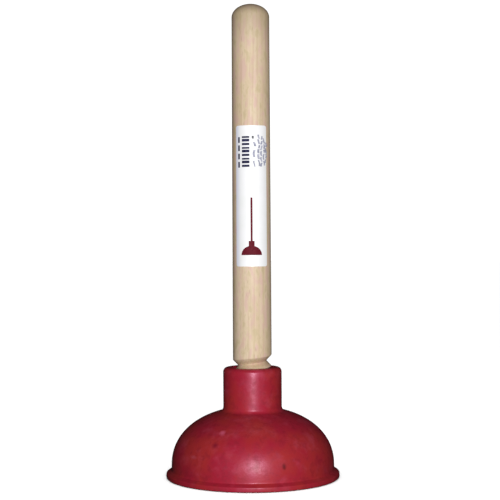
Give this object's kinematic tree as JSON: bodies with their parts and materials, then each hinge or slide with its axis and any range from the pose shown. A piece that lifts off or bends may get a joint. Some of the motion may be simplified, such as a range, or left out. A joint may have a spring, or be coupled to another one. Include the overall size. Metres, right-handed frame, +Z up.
{
  "type": "sink plunger",
  "caption": "Small hand plunger: a hollow rubber bell with a flanged rim, and a straight wooden handle that screws into the collar on top of the bell.",
  "frame": {"origin": "centre of the rim's bottom land, which is the plane that the cup stands on", "axes": "+Z up the handle along the axis of the cup, -Y towards the front, where the label is"},
  "size_m": [0.1016, 0.1016, 0.2774],
  "materials": {
    "rubber": "satin red rubber with a faint bloom",
    "wood": "bare, sanded pale wood",
    "paper": "coated white paper"
  },
  "bodies": {
    "rim": {"cup_rim": "rubber", "cup_dome": "rubber"},
    "crown": {"cup_crown": "rubber"},
    "collar": {"cup_collar": "rubber"},
    "socket": {"socket_floor": "rubber"},
    "handle": {"handle": "wood", "label": "paper"}
  },
  "joints": [
    {"name": "plunge_stroke", "type": "slide", "parent": "rim", "child": "crown", "axis": [0, 0, 1], "range_m": [-0.02, 0], "stiffness_N_per_m": 2500, "deforming": ["cup_dome"]},
    {"name": "neck_rock", "type": "hinge", "parent": "crown", "child": "collar", "pos_m": [0, 0, 0.0389], "axis": [0, 1, 0], "range_deg": [-9, 9], "stiffness_Nm_per_rad": 8, "deforming": ["cup_crown"]},
    {"name": "handle_turn", "type": "hinge", "parent": "collar", "child": "socket", "pos_m": [0, 0, 0.0458], "axis": [0, 0, 1], "range_deg": [0, 900]},
    {"name": "handle_lift", "type": "slide", "parent": "socket", "child": "handle", "axis": [0, 0, 1], "range_m": [0, 0.0159]}
  ],
  "couplings": [
    {"joint": "handle_lift", "follows": "handle_turn", "m_per_rad": 0.0010106}
  ]
}
